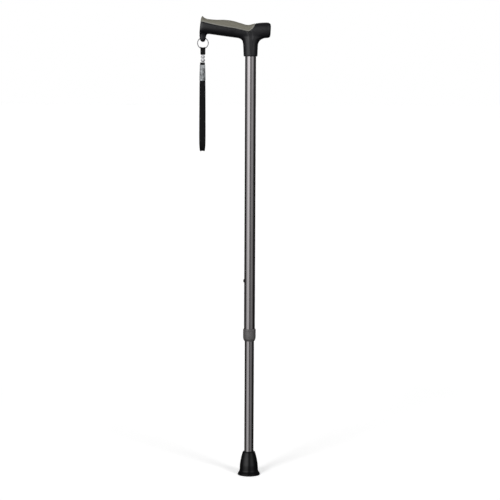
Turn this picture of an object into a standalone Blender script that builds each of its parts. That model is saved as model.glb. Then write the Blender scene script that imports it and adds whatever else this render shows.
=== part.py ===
"""A height-adjustable walking cane with a shaped handle, a push-button leg and a wrist strap.

The frame has its origin in the middle of the foot's base, +Z up and +X towards the handle's nose.
Every size is in metres. Outlines that are easier to read in millimetres go through mm().
"""

import math

import bmesh
import bpy
from mathutils import Matrix, Vector

MM = 0.001
GAP = 0.0003                      # clearance between pieces that touch
ROUND = 32                        # facets round a tube

# Telescoping tubes
LOWER_RADIUS = 0.009525
LOWER_WALL = 0.0012
LOWER_END = 0.0120                # the lower tube stands on the washer in the foot
LOWER_TOP = 0.4436
UPPER_RADIUS = 0.0111
UPPER_WALL = 0.00125
UPPER_END = 0.2860                # mouth of the upper tube, inside the locking collar
UPPER_TOP = 0.8960                # the upper tube ends inside the handle's socket

# Height adjustment: a sprung button in the lower tube and a row of holes in the upper tube
ROW_TURN = math.radians(-22.5)    # the button and the holes face -X, turned this far towards the back
BUTTON_HEIGHT = 0.3986
BUTTON_RADIUS = 0.0040
BUTTON_PROUD = 0.0024
FLANGE_RADIUS = 0.0050            # the button's flange stops it inside the lower tube
FLANGE_FACE = 0.0062              # from the tube's axis to the flange's outer face
FLANGE_THICKNESS = 0.0008
HOLE_PITCH = 0.01905
HOLES_BELOW = 3
HOLES_ABOVE = 9
SPRING_STRIP = 0.0005
SPRING_WIDTH = 0.0070

# Foot and collar
FOOT_TOP = 0.0487
FOOT_FLOOR = 0.0100
WASHER_THICKNESS = 0.0014
COLLAR_BOTTOM = 0.2762
COLLAR_TOP = 0.3012

# Handle
PAD_THICKNESS = 0.0034
RIB_POINTS = 20

# Wrist strap: the ring, the tab and the swivel hang on one line under the handle's lug
STRAP_X = -0.0955
WEBBING_X = STRAP_X - 0.0007      # the webbing under the swivel has slid along its bar a little
RING_CENTRE = 0.8770
RING_MEAN_RADIUS = 0.01075
RING_WIRE = 0.0017                # radial size of the flat wire
RING_LAYER = 0.00085              # thickness of one of the two coils
RING_LAYER_GAP = 0.00015
WEB = 0.0010                      # thickness of the short webbing pieces
TAB_WIDTH = 0.0100
TAB_THICKNESS = 0.0024
TBAR_RADIUS = 0.0008
TBAR_LENGTH = 0.0080
UPPER_TBAR = 0.8556
LOWER_TBAR = 0.8366
HANGER_WIDTH = 0.0097
HANGER_END = 0.8132
SLEEVE_MIDDLE = 0.8180
SLEEVE_WALL = 0.0004
SLEEVE_CORNERS = 3.4              # superellipse power of the sleeve's section
LOOP_WEB = 0.0013

UP = Vector((0, 0, 1))
ALONG_X = Matrix.Rotation(math.radians(90), 4, "Y")


def mm(points):
    """Turn a list of tuples in millimetres into metres."""
    return [tuple(value * MM for value in point) for point in points]


def clear_scene():
    for thing in list(bpy.data.objects):
        bpy.data.objects.remove(thing, do_unlink=True)


def material(name, colour, roughness, metallic=0.0):
    made = bpy.data.materials.new(name)
    made.use_nodes = True
    shader = made.node_tree.nodes["Principled BSDF"]
    shader.inputs["Base Color"].default_value = (*colour, 1.0)
    shader.inputs["Roughness"].default_value = roughness
    shader.inputs["Metallic"].default_value = metallic
    return made


def piece(name, mesh, finish=None, smooth=True):
    """Put a mesh in the scene under its node's name."""
    thing = bpy.data.objects.new(name, mesh)
    bpy.context.scene.collection.objects.link(thing)
    if finish:
        mesh.materials.append(finish)
    if smooth:
        mesh.shade_smooth()
        mesh.set_sharp_from_angle(angle=math.radians(35))
    return thing


def finish_mesh(bm, name):
    """Close a bmesh into a mesh whose faces point out."""
    bmesh.ops.remove_doubles(bm, verts=bm.verts, dist=1e-7)
    bmesh.ops.recalc_face_normals(bm, faces=bm.faces)
    mesh = bpy.data.meshes.new(name)
    bm.to_mesh(mesh)
    bm.free()
    return mesh


def turned(name, outline, axis=None, segments=ROUND):
    """Turn a closed outline of (radius, height) about Z, or about another axis by a matrix."""
    bm = bmesh.new()
    ring = [bm.verts.new((radius, 0, height)) for radius, height in outline]
    edges = [bm.edges.new((ring[i], ring[(i + 1) % len(ring)])) for i in range(len(ring))]
    on_axis = [edge for edge in edges if all(abs(v.co.x) < 1e-9 for v in edge.verts)]
    bmesh.ops.delete(bm, geom=on_axis, context="EDGES")
    bmesh.ops.spin(
        bm, geom=bm.verts[:] + bm.edges[:], cent=(0, 0, 0), axis=UP,
        angle=math.tau, steps=segments, use_merge=True, use_normal_flip=False, use_duplicate=False)
    if axis is not None:
        bm.transform(axis)
    return finish_mesh(bm, name)


def lofted(name, rings):
    """Join rings of equally many points and close both ends."""
    bm = bmesh.new()
    loops = [[bm.verts.new(point) for point in ring] for ring in rings]
    count = len(loops[0])
    for low, high in zip(loops, loops[1:]):
        for i in range(count):
            j = (i + 1) % count
            bm.faces.new((low[i], low[j], high[j], high[i]))
    bm.faces.new(reversed(loops[0]))
    bm.faces.new(loops[-1])
    caps = [face for face in bm.faces if len(face.verts) > 4]
    bmesh.ops.triangulate(bm, faces=caps, ngon_method="EAR_CLIP")
    return finish_mesh(bm, name)


def slab(name, outline, low, high):
    """Extrude an outline of (x, z) along Y from low to high."""
    bm = bmesh.new()
    face = bm.faces.new([bm.verts.new((x, low, z)) for x, z in outline])
    grown = bmesh.ops.extrude_face_region(bm, geom=[face])
    bmesh.ops.translate(
        bm, vec=(0, high - low, 0), verts=[v for v in grown["geom"] if isinstance(v, bmesh.types.BMVert)])
    return finish_mesh(bm, name)


def combined(base, other, operation, solver="EXACT"):
    """Cut, join or intersect two meshes with a Boolean modifier. EXACT turns the ring tab's wire space
    inside out, so that one cut asks for MANIFOLD."""
    first = piece("base", base, smooth=False)
    second = piece("other", other, smooth=False)
    change = first.modifiers.new("change", "BOOLEAN")
    change.operation = operation
    change.solver = solver
    change.object = second
    view = bpy.context.evaluated_depsgraph_get()
    result = bpy.data.meshes.new_from_object(first.evaluated_get(view))
    bpy.data.objects.remove(first, do_unlink=True)
    bpy.data.objects.remove(second, do_unlink=True)
    return welded(result)


def welded(mesh):
    """Close the tiny slivers that a Boolean leaves where two faces nearly meet."""
    bm = bmesh.new()
    bm.from_mesh(mesh)
    bmesh.ops.remove_doubles(bm, verts=bm.verts, dist=3e-6)
    bmesh.ops.dissolve_degenerate(bm, edges=bm.edges, dist=1e-6)
    bm.to_mesh(mesh)
    bm.free()
    return mesh


def cut(base, *cutters):
    for cutter in cutters:
        base = combined(base, cutter, "DIFFERENCE")
    return base


def joined(base, *others):
    for other in others:
        base = combined(base, other, "UNION")
    return base


def smooth_curve(points, steps):
    """Points on a Catmull-Rom curve through the given tuples, with steps between each two."""
    ends = [points[0]] + list(points) + [points[-1]]
    curve = []
    for a, b, c, d in zip(ends, ends[1:], ends[2:], ends[3:]):
        for i in range(steps):
            t = i / steps
            curve.append(tuple(
                0.5 * (2 * q + (r - p) * t + (2 * p - 5 * q + 4 * r - s) * t * t
                       + (3 * q - p - 3 * r + s) * t ** 3)
                for p, q, r, s in zip(a, b, c, d)))
    curve.append(tuple(points[-1]))
    return curve


def superellipse(count, power):
    """Points of a rounded unit square; a power of 2 is a circle."""
    unit = []
    for i in range(count):
        angle = math.tau * (i + 0.5) / count
        side, rise = math.cos(angle), math.sin(angle)
        unit.append((math.copysign(abs(side) ** (2 / power), side),
                     math.copysign(abs(rise) ** (2 / power), rise)))
    return unit


def tube_outline(outer, wall, low, high):
    return [(outer - wall, low), (outer, low), (outer, high), (outer - wall, high)]


def hole_cutter(height, radius, inner, outer):
    """A round cutter for one wall, between two distances from the axis, facing the way the row does."""
    mesh = turned("hole", [(0, -outer), (radius, -outer), (radius, -inner), (0, -inner)], ALONG_X, 16)
    mesh.transform(Matrix.Translation((0, 0, height)) @ Matrix.Rotation(ROW_TURN, 4, "Z"))
    return mesh


def face_row(thing, height=0.0):
    """Turn a piece that was made facing -X to the way the button faces."""
    thing.location.z = height
    thing.rotation_euler.z = ROW_TURN


# ---------------------------------------------------------------- leg

def make_lower_tube():
    mesh = turned("lower_tube", tube_outline(LOWER_RADIUS, LOWER_WALL, LOWER_END, LOWER_TOP))
    mesh = cut(mesh, hole_cutter(BUTTON_HEIGHT, BUTTON_RADIUS + GAP, 0.004, 0.014))
    piece("lower_tube", mesh, material("lower_tube", (0.30, 0.29, 0.29), 0.3, 1.0))


def make_glide_plug():
    shank = LOWER_RADIUS - LOWER_WALL - GAP
    head = UPPER_RADIUS - UPPER_WALL - GAP
    base = LOWER_TOP + GAP
    outline = [
        (0, base - 0.012), (shank - 0.001, base - 0.012), (shank, base - 0.010), (shank, base),
        (head, base), (head, base + 0.0018), (head - 0.0008, base + 0.0026), (0, base + 0.0026)]
    piece("glide_plug", turned("glide_plug", outline), material("glide_plug", (0.03, 0.03, 0.03), 0.5))


def make_foot():
    """A bell-shaped rubber ferrule with a flared lip and ring grooves in its base."""
    tread = mm([
        (0, 0), (7, 0), (7.6, 1.6), (10.4, 1.6), (11, 0), (15, 0), (15.6, 1.6), (18.4, 1.6), (19, 0),
        (22.2, 0), (22.9, 0.7), (22.8, 2.0)])
    lip = smooth_curve(mm([(22.8, 2.0), (21.6, 4.6), (19.8, 7.4), (18.9, 10)]), 2)[1:-1]
    bell = smooth_curve(mm([(18.9, 10), (18.3, 21.3), (16.2, 33.8), (13.1, 45.6)]), 3)
    socket = LOWER_RADIUS + GAP
    rim = [(0.0124, FOOT_TOP - 0.0012), (0.0116, FOOT_TOP - 0.0003), (0.0108, FOOT_TOP)]
    inside = [(socket + 0.0003, FOOT_TOP), (socket, FOOT_TOP - 0.0006), (socket, FOOT_FLOOR), (0, FOOT_FLOOR)]
    piece("foot_tip", turned("foot_tip", tread + lip + bell + rim + inside),
          material("foot_tip", (0.018, 0.018, 0.018), 0.55))


def make_foot_washer():
    low = FOOT_FLOOR + GAP
    outline = tube_outline(LOWER_RADIUS - GAP, 0.0062, low, low + WASHER_THICKNESS)
    piece("foot_washer", turned("foot_washer", outline), material("foot_washer", (0.5, 0.5, 0.5), 0.4, 1.0))


def make_snap_button():
    """A domed pin with a flange that stops it inside the lower tube."""
    tip = -(UPPER_RADIUS + BUTTON_PROUD)
    back = FLANGE_THICKNESS - FLANGE_FACE
    outline = [
        (0, tip), (BUTTON_RADIUS * 0.5, tip + 0.0002), (BUTTON_RADIUS * 0.85, tip + 0.0009),
        (BUTTON_RADIUS, tip + 0.0019), (BUTTON_RADIUS, -FLANGE_FACE), (FLANGE_RADIUS, -FLANGE_FACE),
        (FLANGE_RADIUS, back), (0, back)]
    mesh = turned("snap_button", outline, ALONG_X, 20)
    thing = piece("snap_button", mesh, material("snap_button", (0.10, 0.10, 0.10), 0.35, 1.0))
    face_row(thing, BUTTON_HEIGHT)


def make_button_spring():
    """A V of strip steel: one leg behind the button, the other on the tube's far wall."""
    route = smooth_curve(mm([
        (-4.80, 404), (-4.80, 393), (-3.2, 378), (-1.9, 362), (0, 359.6), (2.0, 362), (5.2, 384),
        (6.9, 404)]), 5)
    rings = []
    for i, (x, z) in enumerate(route):
        before, after = route[max(i - 1, 0)], route[min(i + 1, len(route) - 1)]
        along = Vector((after[0] - before[0], after[1] - before[1])).normalized()
        out = Vector((-along.y, along.x)) * SPRING_STRIP / 2
        rings.append([(x + side * out.x, edge * SPRING_WIDTH / 2, z + side * out.y)
                      for side, edge in ((-1, -1), (1, -1), (1, 1), (-1, 1))])
    face_row(piece("button_spring", lofted("button_spring", rings),
                   material("button_spring", (0.5, 0.5, 0.5), 0.35, 1.0)))


# ---------------------------------------------------------------- upper tube and collar

def make_upper_tube():
    mesh = turned("upper_tube", tube_outline(UPPER_RADIUS, UPPER_WALL, UPPER_END, UPPER_TOP))
    for step in range(-HOLES_BELOW, HOLES_ABOVE + 1):
        height = BUTTON_HEIGHT + step * HOLE_PITCH
        mesh = cut(mesh, hole_cutter(height, BUTTON_RADIUS + GAP, 0.006, 0.014))
    piece("upper_tube", mesh, material("upper_tube", (0.30, 0.28, 0.29), 0.28, 1.0))


def make_locking_collar():
    """A ring nut over the upper tube's end; its tapered seat squeezes the split bush."""
    bore = UPPER_RADIUS + GAP
    inner = LOWER_RADIUS + GAP
    outer = mm([
        (10.2, 276.2), (10.9, 276.9), (12.1, 279.9), (12.7, 283), (12.9, 288), (12.8, 298.6),
        (12.4, 300.4), (11.9, 301.2)])
    inside = [(bore, COLLAR_TOP), (bore, 0.2825), (inner + 0.0002, 0.2778), (inner, COLLAR_BOTTOM)]
    piece("locking_collar", turned("locking_collar", outer + inside),
          material("locking_collar", (0.12, 0.115, 0.115), 0.55))


def make_collar_bushing():
    """A split plastic ring under the upper tube's end."""
    inner = LOWER_RADIUS + GAP
    top = UPPER_END - GAP
    low, shoulder, lip = 0.2796, 0.2830, 0.0006
    outline = [
        (inner, low), (inner + lip, low), (UPPER_RADIUS, shoulder), (UPPER_RADIUS, top), (inner, top)]
    slit = slab("slit", mm([(-0.6, 279), (0.6, 279), (0.6, 287), (-0.6, 287)]), 0.005, 0.015)
    piece("collar_bushing", cut(turned("collar_bushing", outline), slit),
          material("collar_bushing", (0.6, 0.6, 0.58), 0.5))


# ---------------------------------------------------------------- handle

# Each rib of the arm: top (x, z), underside (x, z), half width, all in millimetres.
ARM_RIBS = [
    (-99.6, 924.2, -102.5, 897.5, 12.6),
    (-98.4, 928.2, -102.1, 894.4, 15.0),
    (-96.2, 930.8, -100.0, 893.8, 16.4),
    (-92.8, 927.6, -95.0, 894.8, 16.9),
    (-85.0, 924.9, -85.0, 895.1, 17.1),
    (-69.0, 923.5, -70.0, 893.2, 17.2),
    (-53.0, 923.4, -54.0, 891.0, 17.0),
    (-37.0, 921.7, -38.0, 888.9, 16.4),
    (-21.0, 917.3, -22.0, 886.9, 15.6),
    (-6.0, 913.5, -7.0, 885.8, 14.9),
    (8.0, 916.2, 7.0, 885.8, 14.6),
    (20.0, 918.0, 19.0, 886.6, 14.4),
    (32.6, 918.5, 32.1, 887.6, 14.0),
    (37.0, 917.5, 36.4, 888.3, 13.2),
    (39.5, 915.4, 38.6, 890.1, 11.6),
    (40.4, 911.0, 39.6, 894.2, 8.4),
]
CORE_RIBS = slice(2, -2)          # the pad's palm end is solid, and the nose has no pad
PAD_EDGE = [                      # where the pad meets the handle, seen from the side
    (-112, 918.6), (-96, 918.7), (-89, 917.1), (-81, 915.1), (-65, 911.5), (-49, 908.6), (-33, 906.2),
    (-17, 902.9), (-9, 900.9), (-4, 900.4), (-0.5, 901.8), (3.2, 905.0), (6.9, 910.4), (9.4, 916.4)]
NECK_LEVELS = [                   # height, left side, right side, half depth
    (850.9, -13.7, 13.3, 13.8), (852.0, -14.1, 13.8, 14.4), (864, -14.7, 14.25, 14.9),
    (872, -15.1, 14.6, 15.2), (876, -15.45, 15.0, 15.2), (879.6, -16.1, 16.6, 15.1), (882, -16.9, 18.1, 15.0),
    (884.4, -19.0, 21.0, 14.9), (887, -24.2, 26.4, 14.5), (889.4, -33, 33, 13.6), (895, -34, 33, 12.6)]
LUG_LEVELS = [
    (879.2, -96.8, -94.2, 1.8), (879.8, -98.2, -92.8, 4.2), (881.4, -99.9, -91.2, 5.8),
    (883.9, -101.3, -90.4, 6.8), (887.5, -102.3, -89.3, 7.4), (891.5, -102.6, -88.8, 8.0),
    (893.8, -102.5, -87.9, 8.6), (895.4, -102.0, -85.6, 9.2), (899, -101, -84, 9.2)]


def arm_rings(ribs, inset=0.0):
    """Rings round the arm through the given ribs, pulled in by inset."""
    shape = superellipse(RIB_POINTS, 2.5)
    rings = []
    for top_x, top_z, low_x, low_z, half in smooth_curve(mm(ribs), 2):
        centre = Vector(((top_x + low_x) / 2, 0, (top_z + low_z) / 2))
        rise = Vector(((top_x - low_x) / 2, 0, (top_z - low_z) / 2))
        rise *= 1 - inset / rise.length
        wide = Vector((0, half - inset, 0))
        rings.append([centre + wide * side + rise * up for side, up in shape])
    return rings


def upright_rings(levels, power):
    """Rings of an upright limb, from (height, left, right, half depth) in millimetres."""
    shape = superellipse(RIB_POINTS, power)
    rings = []
    for height, left, right, half in mm(levels):
        middle, reach = (left + right) / 2, (right - left) / 2
        rings.append([(middle + reach * side, half * depth, height) for side, depth in shape])
    return rings


def pad_region(lift):
    """The space over the pad's edge line, lifted by a small clearance."""
    edge = [(x, z + lift) for x, z in smooth_curve(mm(PAD_EDGE), 2)]
    return slab("pad_region", edge + [(0.0100, 0.9500), (-0.1120, 0.9500)], -0.04, 0.04)


def strap_hole():
    """A hole along X, flared so that the round wire can swing in it."""
    outline = [(0, -0.0078)]
    for i in range(-6, 7):
        reach = i * 0.0013
        drop = RING_MEAN_RADIUS - math.sqrt(RING_MEAN_RADIUS ** 2 - reach ** 2)
        outline.append((drop + 0.0013 + GAP, reach))
    mesh = turned("strap_hole", outline + [(0, 0.0078)], ALONG_X, 20)
    mesh.transform(Matrix.Translation((STRAP_X, 0, RING_CENTRE + RING_MEAN_RADIUS)))
    return mesh


def make_handle():
    """A moulded handle: arm, neck and lug, with a core that fills the soft pad."""
    arm = lofted("arm", arm_rings(ARM_RIBS))
    core = lofted("core", arm_rings(ARM_RIBS[CORE_RIBS], PAD_THICKNESS))
    neck = lofted("neck", upright_rings(NECK_LEVELS, 2.0))
    lug = lofted("lug", upright_rings(LUG_LEVELS, 2.6))
    socket_radius = UPPER_RADIUS + GAP
    socket_top = UPPER_TOP + GAP
    socket = turned("socket", [
        (0, 0.845), (socket_radius, 0.845), (socket_radius, socket_top), (0, socket_top)])
    body = cut(arm, pad_region(0))
    body = joined(body, core, neck, lug)
    body = cut(body, socket, strap_hole())
    piece("handle_body", body, material("handle_body", (0.014, 0.014, 0.017), 0.42))


def make_grip_pad():
    """A soft saddle over the handle's core."""
    arm = lofted("arm", arm_rings(ARM_RIBS))
    core = lofted("core", arm_rings(ARM_RIBS[CORE_RIBS], PAD_THICKNESS - GAP))
    pad = combined(arm, pad_region(GAP), "INTERSECT")
    piece("grip_pad", cut(pad, core), material("grip_pad", (0.23, 0.22, 0.18), 0.6))


# ---------------------------------------------------------------- wrist strap

def make_split_ring():
    """Two flat coils of one wire; a short step on the +X side takes it from one to the other."""
    step_at = math.radians(10)
    half_step = math.radians(15)
    layer = (RING_LAYER + RING_LAYER_GAP) / 2
    count = 64
    first, last = half_step * 1.15, 2 * math.tau - half_step * 1.15
    rings = []
    for i in range(count + 1):
        turn = first + (last - first) * i / count
        blend = min(max((turn - math.tau) / half_step, -1), 1)
        depth = layer * math.sin(blend * math.pi / 2)
        across = Vector((math.cos(turn + step_at), 0, math.sin(turn + step_at)))
        middle = Vector((STRAP_X, depth, RING_CENTRE)) + across * RING_MEAN_RADIUS
        rings.append([
            middle + across * (RING_WIRE / 2 * side) + Vector((0, RING_LAYER / 2 * up, 0))
            for side, up in ((-1, -1), (1, -1), (1, 1), (-1, 1))])
    piece("split_ring", lofted("split_ring", rings), material("split_ring", (0.62, 0.62, 0.63), 0.2, 1.0))


def wire_rise(reach):
    """How far the ring's wire has curved up at a distance from the ring's lowest point."""
    return RING_MEAN_RADIUS - math.sqrt(RING_MEAN_RADIUS ** 2 - reach ** 2)


def bar_space(height):
    """The space that a straight T-bar takes in a fold, along X."""
    radius = TBAR_RADIUS + GAP
    mesh = turned("bar_space", [(0, -0.007), (radius, -0.007), (radius, 0.007), (0, 0.007)], ALONG_X, 12)
    mesh.transform(Matrix.Translation((STRAP_X, 0, height)))
    return mesh


def wire_space(height):
    """The space that the ring's curved wire takes in a fold, along X."""
    wide, tall = 0.00138, 0.00132
    rings = []
    for i in range(-5, 6):
        reach = i * 0.0013
        rings.append([
            (STRAP_X + reach, wide * math.cos(math.tau * k / 12),
             height + wire_rise(reach) + tall * math.sin(math.tau * k / 12)) for k in range(12)])
    return lofted("wire_space", rings)


def neck_space(low, high):
    """An eyelet through a fold, for the neck that joins a T-bar to its swivel."""
    mesh = turned("neck_space", [(0, low), (0.0014, low), (0.0014, high), (0, high)], segments=12)
    mesh.transform(Matrix.Translation((STRAP_X, 0, 0)))
    return mesh


def half_turn(radius_y, radius_z, height, start, count=6):
    """Side-view points (y, z) of the round end of a fold."""
    angles = [start + math.pi * k / count for k in range(count + 1)]
    return [(radius_y * math.cos(angle), height + radius_z * math.sin(angle)) for angle in angles]


def make_ring_tab():
    """Webbing looped round the split ring above and round the swivel's T-bar below."""
    ring_low = RING_CENTRE - RING_MEAN_RADIUS
    fold = TBAR_RADIUS + GAP + WEB
    flat = TAB_THICKNESS / 2
    corner = 0.0022
    rings = []
    for i in range(-6, 7):
        reach = TAB_WIDTH / 2 * i / 6
        top = ring_low + wire_rise(reach)
        past = max(abs(reach) - (TAB_WIDTH / 2 - corner), 0)
        lift = corner - math.sqrt(corner ** 2 - past ** 2)
        side = half_turn(fold * 1.1, fold * 1.05, top, 0)
        side += [(-flat, top - 0.0042), (-flat, UPPER_TBAR + 0.0034)]
        side += half_turn(fold, fold - lift * 0.45, UPPER_TBAR + lift * 0.55, math.pi)
        side += [(flat, UPPER_TBAR + 0.0034), (flat, top - 0.0042)]
        rings.append([(STRAP_X + reach, y, z) for y, z in side])
    tab = combined(lofted("ring_tab", rings), wire_space(ring_low), "DIFFERENCE", "MANIFOLD")
    tab = cut(tab, bar_space(UPPER_TBAR), neck_space(0.8500, UPPER_TBAR))
    piece("ring_tab", tab, material("ring_tab", (0.01, 0.01, 0.01), 0.85))


def make_tab_stitching():
    """A box of thread sewn through both plies of the tab, on its front face."""
    face = -TAB_THICKNESS / 2 - 0.0001
    low, high, half, thread = 0.8590, 0.8620, 0.0036, 0.0006

    def box(inset):
        x, bottom, top = half - inset, low + inset, high - inset
        return [(STRAP_X - x, bottom), (STRAP_X + x, bottom), (STRAP_X + x, top), (STRAP_X - x, top)]
    frame = slab("frame", box(0), face - thread / 2, face)
    window = slab("window", box(thread), face - thread, face + thread)
    piece("tab_stitching", cut(frame, window), material("tab_stitching", (0.03, 0.03, 0.03), 0.7))


def t_bar(height):
    """A short round bar along X with chamfered ends."""
    half, chamfer = TBAR_LENGTH / 2, 0.0003
    mesh = turned("t_bar", [
        (0, -half), (TBAR_RADIUS - chamfer, -half), (TBAR_RADIUS, chamfer - half),
        (TBAR_RADIUS, half - chamfer), (TBAR_RADIUS - chamfer, half), (0, half)], ALONG_X, 12)
    mesh.transform(Matrix.Translation((STRAP_X, 0, height)))
    return mesh


def make_swivel_pin():
    """The swivel's upper half: a T-bar, a round knob and a headed pin."""
    outline = mm([
        (0, 841.6), (1.5, 841.6), (1.5, 843.0), (0.9, 843.4), (0.9, 847.2), (2.2, 847.2), (3.4, 847.9),
        (4.1, 848.9), (4.3, 850.0), (4.1, 851.0), (3.4, 852.0), (2.2, 852.8), (1.1, 853.2), (1.1, 855.6),
        (0, 855.6)])
    knob = turned("knob", outline, segments=20)
    knob.transform(Matrix.Translation((STRAP_X, 0, 0)))
    piece("swivel_pin", joined(knob, t_bar(UPPER_TBAR)),
          material("swivel_pin", (0.75, 0.75, 0.77), 0.18, 1.0))


def make_swivel_body():
    """The swivel's lower half: a barrel that holds the pin's head, and a T-bar."""
    outside = mm([
        (0, 836.6), (1.1, 836.6), (1.1, 839.0), (2.2, 839.6), (3.4, 840.6), (4.1, 841.8), (4.3, 843.2),
        (4.1, 844.6), (3.4, 845.8), (2.4, 846.8)])
    inside = mm([(1.25, 846.8), (1.25, 843.9), (1.85, 843.5), (1.85, 841.2), (0, 841.2)])
    barrel = turned("barrel", outside + inside, segments=20)
    barrel.transform(Matrix.Translation((STRAP_X, 0, 0)))
    piece("swivel_body", joined(barrel, t_bar(LOWER_TBAR)),
          material("swivel_body", (0.75, 0.75, 0.77), 0.18, 1.0))


def make_hanger_loop():
    """Short webbing folded over the lower T-bar, with both plies sewn into the sleeve."""
    fold = TBAR_RADIUS + GAP + WEB
    flat = TAB_THICKNESS / 2
    outline = half_turn(fold, fold, LOWER_TBAR, 0)
    closed = LOWER_TBAR - 0.0034
    outline += [(-flat, closed), (-flat, HANGER_END), (flat, HANGER_END), (flat, closed)]
    sides = (WEBBING_X - HANGER_WIDTH / 2, WEBBING_X + HANGER_WIDTH / 2)
    hanger = lofted("hanger_loop", [[(x, y, z) for y, z in outline] for x in sides])
    hanger = cut(hanger, bar_space(LOWER_TBAR), neck_space(LOWER_TBAR, 0.8420))
    piece("hanger_loop", hanger, material("hanger_loop", (0.01, 0.01, 0.01), 0.85))


def sleeve_levels(thinner):
    """The sleeve's size at its heights, in from its surface by thinner: half width, half depth."""
    return [(height, half_x - thinner, half_y - thinner) for height, half_x, half_y in mm([
        (833.5, 5.3, 2.7), (833.0, 5.45, 2.9), (830, 5.5, 3.1), (822, 5.75, 3.7), (812, 6.0, 4.0),
        (803.0, 6.15, 4.1), (802.4, 6.05, 4.0)])]


def sleeve_rings(levels, stretch=0.0):
    """Flat rings round the strap; stretch draws them out past the sleeve's ends."""
    shape = superellipse(16, SLEEVE_CORNERS)
    return [[(WEBBING_X + wide * side, deep * up, height + stretch * (height - SLEEVE_MIDDLE))
             for side, up in shape] for height, wide, deep in levels]


def make_reflective_sleeve():
    """A flat tube of reflective cloth over the sewn ends of the webbing."""
    outside = lofted("outside", sleeve_rings(sleeve_levels(0)))
    inside = lofted("inside", sleeve_rings(sleeve_levels(SLEEVE_WALL), 0.2))
    piece("reflective_sleeve", cut(outside, inside),
          material("reflective_sleeve", (0.42, 0.43, 0.44), 0.45, 0.4))


# The loop's side view as (y, z) in millimetres, from the sleeve down to its lowest point.
LOOP_SIDE = [
    (-0.8, 812.6), (-0.85, 808), (-0.95, 802.4), (-1.25, 799.6), (-2.3, 793), (-5.4, 778), (-9.2, 760),
    (-13.2, 738), (-16.2, 716), (-17.8, 698), (-17.4, 684), (-14.2, 672), (-8.4, 664.6), (0, 662.4)]
# The webbing's half width along the same points.
LOOP_HALF_WIDTHS = [5.2, 5.25, 5.4, 5.9, 5.95, 6.0, 6.0, 6.05, 6.05, 6.05, 6.0, 5.75, 5.1, 4.6]


def make_wrist_loop():
    """One length of webbing, out of the sleeve, round and back into it."""
    half = [(y, z, width) for (y, z), width in zip(LOOP_SIDE, LOOP_HALF_WIDTHS)]
    back = [(-y, z, width) for y, z, width in reversed(half[:-1])]
    route = smooth_curve(mm(half + back), 2)
    rings = []
    for i, (y, z, width) in enumerate(route):
        before, after = route[max(i - 1, 0)], route[min(i + 1, len(route) - 1)]
        along = Vector((after[0] - before[0], after[1] - before[1])).normalized()
        out = Vector((-along.y, along.x)) * LOOP_WEB / 2
        rings.append([(WEBBING_X + side * width, y + up * out.x, z + up * out.y)
                      for side, up in ((-1, -1), (1, -1), (1, 1), (-1, 1))])
    piece("wrist_loop", lofted("wrist_loop", rings), material("wrist_loop", (0.012, 0.012, 0.012), 0.85))


def make_sleeve_stitching():
    """A line of thread round the sleeve, just above its mouth."""
    low, high, over = 0.8052, 0.8057, 0.001
    wide, deep, thread = 0.00630, 0.00420, 0.00028
    outside = lofted("outside", sleeve_rings([(z, wide + thread, deep + thread) for z in (low, high)]))
    inside = lofted("inside", sleeve_rings([(z, wide, deep) for z in (low - over, high + over)]))
    piece("sleeve_stitching", cut(outside, inside), material("sleeve_stitching", (0.3, 0.3, 0.3), 0.7))


def build():
    clear_scene()
    make_lower_tube()
    make_glide_plug()
    make_foot()
    make_foot_washer()
    make_snap_button()
    make_button_spring()
    make_upper_tube()
    make_locking_collar()
    make_collar_bushing()
    make_handle()
    make_grip_pad()
    make_split_ring()
    make_ring_tab()
    make_tab_stitching()
    make_swivel_pin()
    make_swivel_body()
    make_hanger_loop()
    make_reflective_sleeve()
    make_sleeve_stitching()
    make_wrist_loop()


build()
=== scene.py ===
"""The looks of a height-adjustable walking cane, built round its CAD frame.

Every length is in metres and in the frame's own coordinates: the origin is in the middle of the foot's
base, +Z is up and +X points towards the handle's nose. Outlines that are easier to read in millimetres
go through mm().
"""

import math

import bmesh
import bpy
import numpy as np
from mathutils import Matrix, Vector, noise as perlin


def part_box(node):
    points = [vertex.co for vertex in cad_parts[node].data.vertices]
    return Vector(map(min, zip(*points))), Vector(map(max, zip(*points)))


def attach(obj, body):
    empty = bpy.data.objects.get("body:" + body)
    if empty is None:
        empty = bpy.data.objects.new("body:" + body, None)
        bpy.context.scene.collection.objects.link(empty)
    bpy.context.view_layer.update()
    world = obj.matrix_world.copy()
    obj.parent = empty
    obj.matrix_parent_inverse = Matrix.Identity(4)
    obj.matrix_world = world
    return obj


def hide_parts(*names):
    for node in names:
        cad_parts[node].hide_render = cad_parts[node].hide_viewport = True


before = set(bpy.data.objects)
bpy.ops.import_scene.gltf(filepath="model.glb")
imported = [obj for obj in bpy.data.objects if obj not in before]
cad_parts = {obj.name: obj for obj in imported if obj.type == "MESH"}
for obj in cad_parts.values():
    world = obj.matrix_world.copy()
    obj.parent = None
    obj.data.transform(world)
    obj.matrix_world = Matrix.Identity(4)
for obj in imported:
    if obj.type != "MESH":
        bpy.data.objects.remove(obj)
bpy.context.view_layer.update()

MM = 0.001
GAP = 0.0003                      # clearance between pieces that touch
ALONG_X = Matrix.Rotation(math.radians(90), 4, "Y")

leg_low, leg_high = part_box("lower_tube")
shaft_low, shaft_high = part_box("upper_tube")
button_low, button_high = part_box("snap_button")
collar_low, collar_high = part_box("locking_collar")
_, foot_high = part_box("foot_tip")
ring_low, ring_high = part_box("split_ring")
hanger_low, hanger_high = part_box("hanger_loop")

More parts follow.
